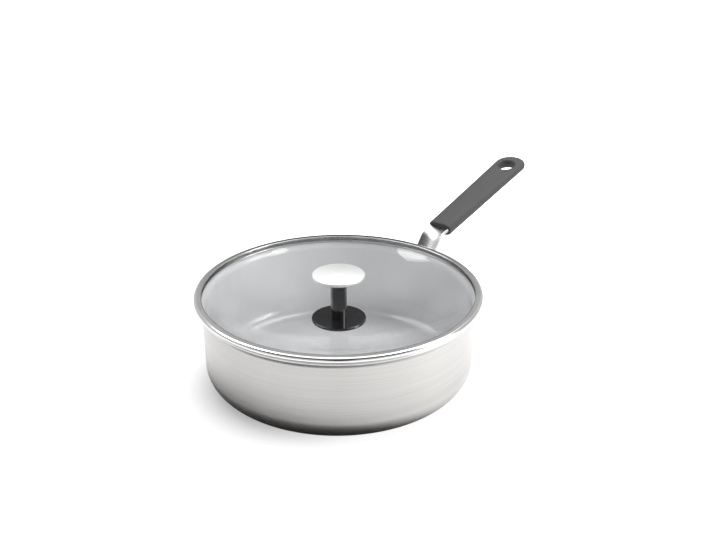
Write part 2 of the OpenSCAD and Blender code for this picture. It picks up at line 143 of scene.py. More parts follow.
class LidSizes(bpy.types.PropertyGroup):
    """Sizes of the glass lid and its band"""

    band_r: FloatProperty(name="Band radius", description="Outer radius of the steel band",
                          default=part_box("lid_band")[1][0], unit="LENGTH")
    band_sheet: length("Band sheet", "Thickness of the rolled band", 0.6)
    band_cover: length("Band cover", "Width of the flat part of the band over the glass", 4.5)
    glass: length("Glass", "Thickness of the glass", 4)
    dish_depth: length("Dish depth", "Depth of the dished glass at its centre", 33)
    bend_r: length("Glass bend", "Bend radius where the glass turns down from the band", 14)
    hole_r: length("Glass hole", "Radius of the hole through the glass", 4)
    seat_gap: length("Seat gap", "Gap between the band and the lip of the pan", 0.3)


class KnobSizes(bpy.types.PropertyGroup):
    """Sizes of the knob and what clamps it"""

    cap_r: length("Cap radius", "Radius of the steel cap", 23.75)
    cap_sheet: length("Cap sheet", "Thickness of the cap's sheet", 0.8)
    cap_edge: length("Cap edge", "Height of the cap's edge", 2.6)
    cap_crown: length("Cap crown", "Crown height of the cap", 1.6)
    base_r: length("Base radius", "Radius of the base disc", 24.9)
    base_t: length("Base thickness", "Thickness of the base disc at its centre", 3.4)
    stem_r: length("Stem radius", "Radius of the stem", 7.4)
    stem_h: length("Stem height", "Height of the stem from the base disc to the cap", 40.6)
    flare_r: length("Stem flare radius", "Radius of the stem where it flares out under the cap", 11.2)
    flare_h: length("Stem flare height", "Height of the flare at the top of the stem", 6)
    plate_t: length("Cap plate", "Thickness of the plate that backs the cap", 1.8)
    seat: length("Stem seat", "Depth to which the stem sits in the base disc", 0.9)
    screw_r: length("Screw radius", "Radius of the knob screw's shank", 2.5)
    upper_gasket_t: length("Upper gasket", "Thickness of the upper gasket", 0.6)
    upper_gasket_r: length("Upper gasket radius", "Radius of the upper gasket", 14)
    lower_gasket_t: length("Lower gasket", "Thickness of the lower gasket", 1.5)
    lower_gasket_r: length("Lower gasket radius", "Radius of the lower gasket", 9)
    washer_r: length("Washer radius", "Radius of the washer", 7.5)
    washer_t: length("Washer", "Thickness of the washer", 1)


class HandleSizes(bpy.types.PropertyGroup):
    """Sizes of the pressed bracket and the soft grip"""

    arm_w: length("Arm width", "Width of the arm", 23)
    arm_t: length("Arm sheet", "Thickness of the arm's sheet", 2.5)
    arm_dish_r: length("Arm hollow", "Radius of the hollow along the arm's top", 30)
    handle_tilt: angle("Handle tilt", "Tilt of the arm and grip above the horizontal", 14.7)
    leg_tilt: angle("Leg tilt", "Tilt of the leg that rises from the wall", 52)
    knee_reach: length("Knee reach", "How far the knee stands out from the wall", 23.6)
    knee_rise: length("Knee rise", "Height of the knee above the lip", 10.9)
    knee_r: length("Knee bend", "Bend radius of the knee", 14)
    foot_r: length("Foot bend", "Bend radius where the leg leaves the wall", 12)
    arm_len: length("Arm length", "Distance along the arm from the knee to the grip", 12)
    flange_w: length("Flange width", "Width of the flange on the wall", 38)
    flange_h: length("Flange height", "Height of the flange on the wall", 34)
    flange_corner_r: length("Flange corner", "Corner radius of the flange", 9)
    tang_w: length("Tang width", "Width of the tang inside the grip", 11)
    tang_l: length("Tang length", "Length of the tang inside the grip", 92)
    tang_t: length("Tang thickness", "Thickness of the tang", 2.2)
    grip_l: length("Grip length", "Length of the grip", 153)
    grip_near_w: length("Near width", "Width of the grip at the pan end", 26.5)
    grip_far_w: length("Far width", "Width of the grip at the hanging end", 35)
    grip_near_t: length("Near thickness", "Thickness of the grip at the pan end", 14)
    grip_far_t: length("Far thickness", "Thickness of the grip at the hanging end", 10)
    grip_edge_r: length("Grip edge", "Edge radius at the pan end", 1.4)
    grip_end_r: length("Grip end", "Length over which the far end rounds off", 16)
    skin_t: length("Skin", "Thickness of the soft skin", 1.6)
    hang_r: length("Hanging hole", "Radius of the hanging hole", 8.5)
    hang_inset: length("Hole inset", "Distance from the far end to the hanging hole", 22.5)
    hang_round: length("Hole rounding", "Rounding round the hanging hole", 3.6)
    screw_u: length("Screw place", "Distance from the pan end of the grip to its screw", 32)
    screw_r: length("Screw radius", "Radius of the grip screw's shank", 1.95)
    screw_head_r: length("Screw head", "Radius of the grip screw's head", 3.6)


class PanFinishes(bpy.types.PropertyGroup):
    """Colours of the pan's materials"""

    brushed_steel: colour("Brushed steel", "Outer and inner steel of the pan", (0.605, 0.593, 0.577))
    polished_steel: colour("Polished steel", "Band, washer and screws", (0.80, 0.80, 0.79))
    bracket_steel: colour("Bracket steel", "Bright steel of the handle bracket", (0.70, 0.70, 0.69))
    cap_steel: colour("Cap steel", "Satin cap of the knob", (0.79, 0.79, 0.785))
    lining_grey: colour("Lining", "Non-stick coating", (0.625, 0.628, 0.642))
    glass_tint: colour("Glass", "Tint of the lid's glass", (0.983, 0.986, 0.985))
    knob_black: colour("Knob black", "Gloss black of the stem and base disc", (0.010, 0.010, 0.011))
    grip_grey: colour("Grip grey", "Soft skin of the grip", (0.048, 0.048, 0.049))
    core_nylon: colour("Core nylon", "Hard core inside the grip", (0.05, 0.05, 0.052))
    gasket_grey: colour("Gasket", "Silicone washers", (0.12, 0.12, 0.12))
    aluminium: colour("Aluminium", "Core ply at the lip", (0.80, 0.80, 0.81))
    brass: colour("Brass", "Threaded insert", (0.62, 0.45, 0.18))


class StageSettings(bpy.types.PropertyGroup):
    """Floor, light and camera"""

    floor_colour: colour("Floor", "Colour of the floor", (0.82, 0.82, 0.825))
    # painted shadow: the dark floor colour beside the pan that the camera sees
    shade_colour: colour("Shaded floor", "Colour of the floor beside the pan", (0.15, 0.15, 0.15))
    # painted shade: a dark floor that only metal and glass mirror, which darkens the steel's bottom corner
    mirrored_shade_colour: colour("Mirrored shade", "Colour of the floor that the steel mirrors", (0.07, 0.07, 0.07))
    shade_lift: share("Lift in the shade", "Light that the floor adds for the camera by the pan", 0.25)
    near_lift: share("Lift near the pan", "Light that it adds for the camera a little further out", 0.93)
    far_lift: share("Lift further out", "Light that it adds for the camera well away from the pan", 0.60)
    # painted reflection: light that the floor gives off only for metal and glass
    mirrored_lift: share("Mirrored lift", "Light that the floor adds for metal and glass", 0.2)
    side_lift: share("Mirrored side lift", "Further light that it adds for them at the picture's right", 0.18)
    shade_shift: shift("Shade", "Shift of the shade that the camera sees, across and away", (-36, -18))
    mirrored_shift: shift("Mirrored shade", "Shift of the shade that the steel mirrors", (-26, -36))
    sky_low: share("Light at the horizon", "Strength of the even light at the horizon", 0.05, 4.0)
    sky_high: share("Light overhead", "Strength of the even light overhead", 2.1, 4.0)
    sky_sides: share("Light at the sides", "Strength of the even light low at both sides", 0.58, 4.0)
    key_light: share("Key lamp", "Brightness of the lamp at the upper right", 6.0, 20.0)
    fill_light: share("Fill lamp", "Brightness of the wide lamp at the upper left", 5.4, 20.0)
    side_light: share("Side lamp", "Brightness of the lamp at the right", 10.5, 20.0)
    lens: FloatProperty(name="Lens", description="Focal length in mm on a 36 mm sensor", default=44.81,
                        unit="CAMERA")
    turn: angle("Handle turn", "Angle of the handle behind the picture's right", 49)
    pitch: angle("Camera pitch", "Downward tilt of the camera", 24.16)
    yaw: angle("Camera yaw", "Turn of the camera towards the picture's right", 1.376)
    distance: length("Camera distance", "Level distance of the camera from the pan's axis", 723.3)
    rise: length("Camera height", "Height of the camera above the floor", 425.8)


# ---------------------------------------------------------------- node writing


class Flow:
    """A node socket that takes part in Python expressions, and makes the nodes of its tree."""

    def __init__(self, tree, socket=None):
        self.tree = tree
        self.socket = socket

    def node(self, kind, settings=None, inputs=None, out=0):
        """Makes a node: its settings come first, then its sockets' values and links."""
        made = self.tree.nodes.new(kind)
        for name, value in (settings or {}).items():
            setattr(made, name, value)
        for name, value in (inputs or {}).items():
            if isinstance(value, Flow):
                self.tree.links.new(value.socket, made.inputs[name])
            else:
                made.inputs[name].default_value = value
        return Flow(self.tree, made.outputs[out]) if len(made.outputs) else made

    def ends(self, *names):
        """Outputs of this socket's node, by name or number."""
        return [Flow(self.tree, self.socket.node.outputs[name]) for name in names]

    def math(self, operation, *values):
        return self.node("ShaderNodeMath", {"operation": operation}, dict(enumerate(values)))

    def __add__(self, other):
        return self.math("ADD", self, other)

    def __radd__(self, other):
        return self.math("ADD", other, self)

    def __sub__(self, other):
        return self.math("SUBTRACT", self, other)

    def __rsub__(self, other):
        return self.math("SUBTRACT", other, self)

    def __mul__(self, other):
        return self.math("MULTIPLY", self, other)

    def __rmul__(self, other):
        return self.math("MULTIPLY", other, self)

    def __pow__(self, other):
        return self.math("POWER", self, other)

    def sway(self, amount):
        """Turns a noise from 0 to 1 into one that swings evenly about zero."""
        return (self - 0.5) * amount

    def ease(self, low, high, to_low=0.0, to_high=1.0):
        return self.node("ShaderNodeMapRange", {"interpolation_type": "SMOOTHSTEP"},
                         {"Value": self, "From Min": low, "From Max": high,
                          "To Min": to_low, "To Max": to_high})

    def blend(self, first, second):
        """Mixes two colours with this value as the factor."""
        pad = lambda tone: tone if isinstance(tone, Flow) else (*tone, 1.0)
        return self.node("ShaderNodeMix", {"data_type": "RGBA"},
                         {0: self, 6: pad(first), 7: pad(second)}, out=2)

    def parts(self):
        return self.node("ShaderNodeSeparateXYZ", None, {0: self}).ends(0, 1, 2)

    def vector(self, x, y, z):
        return self.node("ShaderNodeCombineXYZ", None, {0: x, 1: y, 2: z})

    def noise(self, vector, scale, detail=2.0, roughness=0.5):
        return self.node("ShaderNodeTexNoise", None,
                         {"Vector": vector, "Scale": scale, "Detail": detail, "Roughness": roughness})

    def bump(self, height, distance, strength=1.0):
        return self.node("ShaderNodeBump", None,
                         {"Height": height, "Distance": distance, "Strength": strength})


def emptied(owner):
    """Clears the nodes of a material or a world, and returns what makes new ones there."""
    owner.use_nodes = True
    owner.node_tree.nodes.clear()
    return Flow(owner.node_tree)


def finish_material(name, build, fixed):
    """Makes a material: build returns the linked sockets, fixed holds those that are the same all over."""
    made = bpy.data.materials.new(name)
    flow = emptied(made)
    linked = build(flow, flow.node("ShaderNodeTexCoord", out="Object"))
    surface = flow.node("ShaderNodeBsdfPrincipled", None, {**fixed, **linked})
    flow.node("ShaderNodeOutputMaterial", None, {"Surface": surface})
    return made


def scaled(tone, factor):
    """A colour made paler or darker."""
    return tuple(min(1.0, factor * part) for part in tone)


def turned_lines(flow, coordinates, drift, pitch):
    """Fine marks that run round the axis, on walls and flats alike."""
    x, y, z = coordinates.parts()
    radius = (x * x + y * y) ** 0.5
    stretched = flow.vector(x * drift, y * drift, (z + radius) * pitch)
    return flow.noise(stretched, scale=1.0, detail=3.0, roughness=0.6)


def brushed_steel(name, tone, rough, drift=7.0, pitch=2600.0):
    """Satin steel with fine and coarse marks round the axis and faint smears."""
    def build(flow, coordinates):
        fine = turned_lines(flow, coordinates, drift, pitch)
        coarse = turned_lines(flow, coordinates, drift * 0.5, pitch * 0.22)
        smears = flow.noise(coordinates, scale=14.0, detail=3.0)
        line = fine * 0.5 + coarse * 0.5
        return {
            "Base Color": line.ease(0.32, 0.68).blend(scaled(tone, 0.87), tone),
            "Roughness": rough + line.sway(0.12) + smears.sway(0.05),
            "Normal": flow.bump(line, distance=0.004 * MM, strength=0.5),
        }

    return finish_material(name, build, {"Metallic": 1.0, "Anisotropic": 0.8, "Anisotropic Rotation": 0.25})


def polished_metal(name, tone, rough, pitch=900.0):
    """Bright metal with faint marks round the axis and a light haze."""
    def build(flow, coordinates):
        line = turned_lines(flow, coordinates, drift=30.0, pitch=pitch)
        haze = flow.noise(coordinates, scale=40.0, detail=4.0)
        return {
            "Base Color": haze.ease(0.35, 0.65).blend(scaled(tone, 0.965), tone),
            "Roughness": rough + line.sway(0.05) + haze.sway(0.05),
            "Normal": flow.bump(line, distance=0.004 * MM, strength=0.4),
        }

    return finish_material(name, build, {"Metallic": 1.0})


def lining_coat(name, tone):
    """Smooth grey coating with fine specks, soft clouds and faint marks round the axis."""
    def build(flow, coordinates):
        specks = flow.noise(coordinates, scale=1500.0)
        cloud = flow.noise(coordinates, scale=22.0, detail=3.0)
        swirl = turned_lines(flow, coordinates, drift=12.0, pitch=320.0)
        return {
            "Base Color": (specks * 0.6 + cloud * 0.4).ease(0.38, 0.66).blend(tone, scaled(tone, 1.16)),
            "Roughness": 0.15 + cloud.sway(0.08) + specks.sway(0.06),
            "Normal": flow.bump(specks * 0.6 + swirl * 0.4, distance=0.012 * MM, strength=0.5),
        }

    return finish_material(name, build, {"Metallic": 0.0, "IOR": 1.5})


def lid_glass_clear(name, tone, head_on=0.04, rise=0.40, power=5.0):
    """Clear glass in which each surface mirrors more the flatter it is seen."""
    made = bpy.data.materials.new(name)
    flow = emptied(made)
    flat = flow.node("ShaderNodeLayerWeight", None, {"Blend": 0.5}, out="Facing")
    mirrored = head_on + rise * flat ** power
    clear = flow.node("ShaderNodeBsdfTransparent", None, {"Color": (*tone, 1.0)})
    mirror = flow.node("ShaderNodeBsdfAnisotropic", None, {"Roughness": 0.01, "Color": (1.0, 1.0, 1.0, 1.0)})
    surface = flow.node("ShaderNodeMixShader", None, {0: mirrored, 1: clear, 2: mirror})
    flow.node("ShaderNodeOutputMaterial", None, {"Surface": surface})
    return made


def gloss_black(name, tone):
    """Glossy black moulding with slow ripples and fine scuffs."""
    def build(flow, coordinates):
        ripple = flow.noise(coordinates, scale=60.0)
        scuffs = flow.noise(coordinates, scale=900.0)
        return {
            "Base Color": ripple.ease(0.3, 0.7).blend(tone, scaled(tone, 1.5)),
            "Roughness": 0.10 + scuffs.sway(0.05),
            "Normal": flow.bump(ripple, distance=0.02 * MM, strength=0.15),
        }

    return finish_material(name, build, {"IOR": 1.52, "Coat Weight": 0.4, "Coat Roughness": 0.05})


def soft_touch(name, tone, rough=0.58, grain=1100.0):
    """Matt rubber with a fine grain."""
    def build(flow, coordinates):
        fine = flow.noise(coordinates, scale=grain, detail=3.0, roughness=0.6)
        wide = flow.noise(coordinates, scale=45.0, detail=3.0)
        return {
            "Base Color": (fine * 0.5 + wide * 0.5).ease(0.36, 0.66).blend(tone, scaled(tone, 1.22)),
            "Roughness": rough + wide.sway(0.12) + fine.sway(0.1),
            "Normal": flow.bump(fine, distance=0.05 * MM, strength=0.35),
        }

    return finish_material(name, build, {"IOR": 1.42, "Sheen Weight": 0.04, "Sheen Roughness": 0.5})


# ---------------------------------------------------------------- shape writing


def arc(centre, radius, start, end, steps):
    """Points of an arc between two angles in degrees."""
    turns = [math.radians(start + (end - start) * k / steps) for k in range(steps + 1)]
    return [(centre[0] + radius * math.cos(turn), centre[1] + radius * math.sin(turn)) for turn in turns]


def straight(first, last):
    """The inner points of a straight run, close to its ends, which keep its shading flat."""
    run = math.dist(first, last)
    if run < 3 * LEAD:
        return []
    at = lambda d: tuple(a + (b - a) * d / run for a, b in zip(first, last))
    return [at(LEAD), at(run - LEAD)]


def joined(*runs, closed=False):
    """One outline from arcs and points, with support points on every straight run between them."""
    outline = []
    for run in runs:
        points = run if isinstance(run, list) else [run]
        if outline:
            outline += straight(outline[-1], points[0])
        outline += points
    return outline + (straight(outline[-1], outline[0]) if closed else [])


def turned_tree():
    """Geometry Nodes tree that sweeps an outline, drawn as radius and height, round the axis."""
    tree = bpy.data.node_groups.new("Turned piece", "GeometryNodeTree")
    given = (("Outline", "NodeSocketGeometry"), ("Steps", "NodeSocketInt"),
             ("Path Radius", "NodeSocketFloat"), ("Finish", "NodeSocketMaterial"))
    for name, kind in given:
        tree.interface.new_socket(name, in_out="INPUT", socket_type=kind)
    tree.interface.new_socket("Geometry", in_out="OUTPUT", socket_type="NodeSocketGeometry")
    flow = Flow(tree)
    outline, steps, radius, finish = flow.node("NodeGroupInput").ends(*(name for name, kind in given))
    profile = flow.node("GeometryNodeMeshToCurve", None, {"Mesh": outline})
    profile = flow.node("GeometryNodeTransform", None,
                        {"Geometry": profile, "Rotation": (math.pi / 2, 0, 0),
                         "Translation": flow.vector(radius * -1.0, 0.0, 0.0)})
    path = flow.node("GeometryNodeCurvePrimitiveCircle", None, {"Resolution": steps, "Radius": radius})
    path = flow.node("GeometryNodeSetCurveNormal", {"mode": "Z_UP"}, {"Curve": path})
    swept = flow.node("GeometryNodeCurveToMesh", None, {"Curve": path, "Profile Curve": profile})
    swept = flow.node("GeometryNodeMergeByDistance", None, {"Geometry": swept, "Distance": WELD})
    swept = flow.node("GeometryNodeRealizeInstances", None, {"Geometry": swept})
    swept = flow.node("GeometryNodeSetMaterial", None, {"Geometry": swept, "Material": finish})
    flow.node("NodeGroupOutput", None, {0: swept})
    return tree


def set_inputs(modifier, values):
    """Sets a modifier's named inputs through their sockets' identifiers."""
    for item in modifier.node_group.interface.items_tree:
        if item.in_out == "INPUT" and item.name in values:
            modifier[item.identifier] = values[item.name]


def link(name, mesh):
    made = bpy.data.objects.new(name, mesh)
    bpy.context.scene.collection.objects.link(made)
    return made


def applied(piece):
    """Turns a piece with modifiers into a plain mesh."""
    graph = bpy.context.evaluated_depsgraph_get()
    mesh = bpy.data.meshes.new_from_object(piece.evaluated_get(graph))
    mesh.name = piece.name
    piece.modifiers.clear()
    piece.data = mesh
    return piece


def smooth(piece, limit=SMOOTH_ANGLE, merge=0.0):
    """Points the faces outwards and shades them smooth up to an angle."""
    work = bmesh.new()
    work.from_mesh(piece.data)
    if merge:
        bmesh.ops.remove_doubles(work, verts=work.verts, dist=merge)
    if work.calc_volume(signed=True) < 0:
        bmesh.ops.reverse_faces(work, faces=work.faces)
    work.to_mesh(piece.data)
    work.free()
    piece.data.shade_smooth()
    piece.data.set_sharp_from_angle(angle=limit)
    return piece


def turned(name, outline, finish, steps=TURN_STEPS):
    """A piece turned round the axis from an outline, open only where both its ends lie on the axis."""
    mesh = bpy.data.meshes.new(name)
    edges = [(k, k + 1) for k in range(len(outline) - 1)]
    if outline[0][0] != 0.0 or outline[-1][0] != 0.0:
        edges.append((len(outline) - 1, 0))
    mesh.from_pydata([(r, 0.0, z) for r, z in outline], edges, [])
    piece = link(name, mesh)
    modifier = piece.modifiers.new("Turned", "NODES")
    modifier.node_group = bpy.data.node_groups.get("Turned piece") or turned_tree()
    set_inputs(modifier, {"Steps": steps, "Path Radius": PATH_R, "Finish": finish})
    return smooth(applied(piece))


def lofted(name, rings):
    """A closed solid through rings that all have the same number of points."""
    mesh = bpy.data.meshes.new(name)
    count = len(rings[0])
    faces = [tuple(range(count))[::-1], tuple((len(rings) - 1) * count + k for k in range(count))]
    for row in range(len(rings) - 1):
        for k in range(count):
            a, b = row * count + k, row * count + (k + 1) % count
            faces.append((a, b, b + count, a + count))
    mesh.from_pydata([tuple(point) for ring in rings for point in ring], [], faces)
    return link(name, mesh)


def cut(piece, *cutters):
    """Cuts closed shapes out of a piece and removes them."""
    for cutter in cutters:
        smooth(cutter)
        modifier = piece.modifiers.new("Cut", "BOOLEAN")
        modifier.operation = "DIFFERENCE"
        modifier.solver = "EXACT"
        modifier.object = cutter
    applied(piece)
    for cutter in cutters:
        bpy.data.objects.remove(cutter)
    return piece


def place(piece, body, slot, *nodes):
    """Hands a finished piece over: attaches it to its body and hides the nodes that it stands for. Its slot
    is not used.
    """
    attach(piece, body)
    if nodes:
        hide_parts(*nodes)


def dress(node, finish):
    """Gives a carried-over solid its material."""
    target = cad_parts[node]
    target.data.materials.clear()
    target.data.materials.append(finish)


# ---------------------------------------------------------------- shapes of this pan


class PanShape:
    """Places that follow from the sizes, as radius and height."""

    def __init__(self, scene):
        p, l, k, h = scene.pan_sizes, scene.lid_sizes, scene.knob_sizes, scene.handle_sizes
        self.p, self.l, self.k, self.h = p, l, k, h
        # pan
        self.sheet = p.outer_ply + p.core_ply + p.inner_ply + p.lining
        turn = p.flare_turn
        self.flare_mid = p.flare_r + self.sheet / 2
        self.flare_z = p.height - self.sheet / 2 - p.flare_run * math.cos(turn) \
            - self.flare_mid * math.sin(turn)
        self.flare_x = p.wall_r + p.flare_r
        self.run = Vector((math.sin(turn), math.cos(turn)))
        self.out = Vector((math.cos(turn), -math.sin(turn)))
        self.nose = Vector((self.flare_x - self.flare_mid * math.cos(turn) + p.flare_run * math.sin(turn),
                            p.height - self.sheet / 2))
        # band and glass
        self.roll_r = l.glass / 2 + l.band_sheet
        self.roll_x = l.band_r - self.roll_r
        self.roll_z = p.height + l.seat_gap + self.roll_r
        self.turn_x = self.roll_x - l.band_cover
        self.dish = 2 * math.atan(l.dish_depth / self.turn_x)
        self.dish_r = self.turn_x / math.sin(self.dish) - l.bend_r
        self.dish_z = self.roll_z - l.dish_depth + self.dish_r
        self.over_r = self.dish_r - l.glass / 2
        self.under_r = self.dish_r + l.glass / 2
        # knob
        self.screw_hole = k.screw_r + GAP / 2
        self.sleeve_r = l.hole_r - GAP / 2
        self.disc_under_r = self.over_r - k.upper_gasket_t
        self.disc_top = self.dish_z - self.over_r + k.upper_gasket_t + k.base_t
        self.stem_low = self.disc_top - k.seat
        self.plate_low = self.disc_top + k.stem_h - k.plate_t / 2
        self.plate_r = k.cap_r - k.cap_sheet
        self.cap_low = self.plate_low + k.plate_t / 3
        self.cap_edge_z = self.cap_low + k.cap_edge
        self.plate_top = self.cap_edge_z - k.cap_sheet
        self.under_z = self.dish_z - self.under_r
        self.washer_top = self.under_z - k.lower_gasket_t
        # handle
        self.knee = Vector((p.wall_r + h.knee_reach, p.height + h.knee_rise))
        self.arm_dir = Vector((math.cos(h.handle_tilt), math.sin(h.handle_tilt)))
        self.grip_start = self.knee + h.arm_len * self.arm_dir
        self.hang_u = h.grip_l - h.hang_inset

    def dish_arc(self, radius, first_r, last_r, steps):
        """Points on a sphere about the dish's centre, between two distances from the axis."""
        places = [first_r + (last_r - first_r) * n / steps for n in range(steps + 1)]
        return [(r, self.dish_z - math.sqrt(radius * radius - r * r)) for r in places]

    def nose_point(self, offset):
        """Place on the lip's round nose that one surface of the sheet runs into."""
        half = self.sheet / 2
        back = math.sqrt(max(half * half - (half - offset) ** 2, 0.0))
        return tuple(self.nose + (half - offset) * self.out + back * self.run)

    def pan_surface(self, offset):
        """One surface of the sheet, at an offset inward from the outside, from the axis to the lip."""
        p = self.p
        floor_r = p.wall_r - p.corner_r
        turn = math.degrees(p.flare_turn)
        return joined(
            (0.0, offset),
            arc((floor_r, p.corner_r), p.corner_r - offset, -90, 0, steps=28),
            arc((self.flare_x, self.flare_z), p.flare_r + offset, 180, 180 - turn, steps=14),
            self.nose_point(offset),
        )

    def ply(self, first, last):
        """Outline of one ply between two offsets, with its part of the nose."""
        steps = 6
        nose = [self.nose_point(first + (last - first) * n / steps) for n in range(1, steps)]
        return self.pan_surface(first) + nose + self.pan_surface(last)[::-1]

    def in_grip(self):
        """Matrix from the grip's own axes, along, across and up, to the part's."""
        x = Vector((self.arm_dir[0], 0, self.arm_dir[1]))
        z = Vector((-self.arm_dir[1], 0, self.arm_dir[0]))
        y = Vector((0, 1, 0))
        move = Matrix((x, y, z)).transposed().to_4x4()
        move.translation = Vector((self.grip_start[0], 0, self.grip_start[1]))
        return move


def soft_power(value, power):
    """Part of a rounded section's outline: 2 gives an ellipse, more fills its corners."""
    return math.copysign(abs(value) ** (2 / power), value)


def half_width(h, u):
    """Half the grip's width at a distance from its pan end."""
    return (h.grip_near_w + (h.grip_far_w - h.grip_near_w) * u / h.grip_l) / 2


def half_thickness(h, u):
    """Half its thickness there."""
    return (h.grip_near_t + (h.grip_far_t - h.grip_near_t) * u / h.grip_l) / 2


def grip_section(u, half_w, half_t, points):
    """One section across the grip, rounder below than above."""
    top_power, low_power = 3.1, 2.5
    made = []
    for k in range(points):
        turn = math.tau * k / points
        power = top_power if math.sin(turn) >= 0 else low_power
        made.append(Vector((u, half_w * soft_power(math.cos(turn), power),
                            half_t * soft_power(math.sin(turn), power))))
    return made


def grip_rings(h, inset, points, body_steps, end_steps):
    """Sections of the grip, drawn in by an inset on every side."""
    edge_steps = 6
    close, flat = 0.992, 0.34  # how far the end rounds off, and the share of its thickness that stays
    edge = max(h.grip_edge_r - inset, h.grip_edge_r / 4)
    end_r = h.grip_end_r - inset
    body_u = inset + edge
    end_u = h.grip_l - h.grip_end_r
    rings = []
    for k in range(edge_steps + 1):
        turn = math.pi / 2 * k / edge_steps
        u = body_u - edge * math.cos(turn)
        drawn = inset + edge * (1 - math.sin(turn))
        rings.append(grip_section(u, half_width(h, u) - drawn, half_thickness(h, u) - drawn, points))
    for k in range(1, body_steps + 1):
        u = body_u + (end_u - body_u) * k / body_steps
        rings.append(grip_section(u, half_width(h, u) - inset, half_thickness(h, u) - inset, points))
    for k in range(1, end_steps + 1):
        turn = math.asin(close * k / end_steps)
        u = end_u + end_r * math.sin(turn)
        half_t = (half_thickness(h, u) - inset) * (flat + (1 - flat) * math.cos(turn))
        rings.append(grip_section(u, (half_width(h, u) - inset) * math.cos(turn), half_t, points))
    return rings


# ---------------------------------------------------------------- operators


class PAN_OT_body(bpy.types.Operator):
    """Turns the four layers of the clad pan"""

    bl_idname = "saute_pan.body"
    bl_label = "Pan body"

    def execute(self, context):
        shape, f = PanShape(context.scene), context.scene.pan_finishes
        p = shape.p
        outside = brushed_steel("Brushed steel", f.brushed_steel, rough=0.3)
        inside = brushed_steel("Inner steel", f.brushed_steel, rough=0.3)
        core = polished_metal("Core aluminium", f.aluminium, rough=0.35)
        lining = lining_coat("Non-stick lining", f.lining_grey)
        offsets = [0.0]
        for ply in (p.outer_ply, p.core_ply, p.inner_ply, p.lining):
            offsets.append(offsets[-1] + ply)
        layers = (("pan_outer_ply", "outer_steel", "outer_shell", outside),
                  ("pan_core_ply", "core_aluminium", "aluminium_core", core),
                  ("pan_inner_ply", "inner_steel", "inner_shell", inside),
                  ("pan_lining", "lining", "ceramic_lining", lining))
        for (name, slot, node, finish), low, high in zip(layers, offsets, offsets[1:]):
            place(turned(name, shape.ply(low, high), finish), "pan", slot, node)
        return {"FINISHED"}


class PAN_OT_glass(bpy.types.Operator):
    """Turns the dished glass of the lid"""

    bl_idname = "saute_pan.glass"
    bl_label = "Lid glass"

    def execute(self, context):
        shape, f = PanShape(context.scene), context.scene.pan_finishes
        l = shape.l
        half = l.glass / 2
        centre = (shape.turn_x, shape.roll_z - l.bend_r)
        tilt = math.degrees(shape.dish)
        edge_over = shape.over_r * math.sin(shape.dish)
        edge_under = shape.under_r * math.sin(shape.dish)
        outline = joined(
            shape.dish_arc(shape.over_r, l.hole_r, edge_over, steps=48),
            arc(centre, l.bend_r + half, 90 + tilt, 90, steps=16)[1:],
            arc((shape.roll_x, shape.roll_z), half, 90, -90, steps=16),
            arc(centre, l.bend_r - half, 90, 90 + tilt, steps=16),
            shape.dish_arc(shape.under_r, edge_under, l.hole_r, steps=48)[1:],
        )
        clear = lid_glass_clear("Lid glass", f.glass_tint)
        place(turned("lid_glass_dish", outline, clear, RIM_STEPS), "lid", "glass", "lid_glass")
        return {"FINISHED"}


class PAN_OT_band(bpy.types.Operator):
    """Rolls the steel band round the glass"""

    bl_idname = "saute_pan.band"
    bl_label = "Lid band"

    def execute(self, context):
        shape, f = PanShape(context.scene), context.scene.pan_finishes
        l = shape.l
        centre = (shape.roll_x, shape.roll_z)
        half, lip = l.glass / 2, l.band_sheet / 2
        inner = shape.roll_x - l.band_cover + lip
        outline = joined(
            arc(centre, shape.roll_r, 90, -90, steps=24),
            arc((inner, shape.roll_z - half - lip), lip, 270, 90, steps=6),
            arc(centre, half, -90, 90, steps=24),
            arc((inner, shape.roll_z + half + lip), lip, 270, 90, steps=6),
            closed=True,
        )
        steel = polished_metal("Band steel", f.polished_steel, rough=0.17)
        place(turned("lid_rolled_band", outline, steel, RIM_STEPS), "lid", "band_steel", "lid_band")
        return {"FINISHED"}


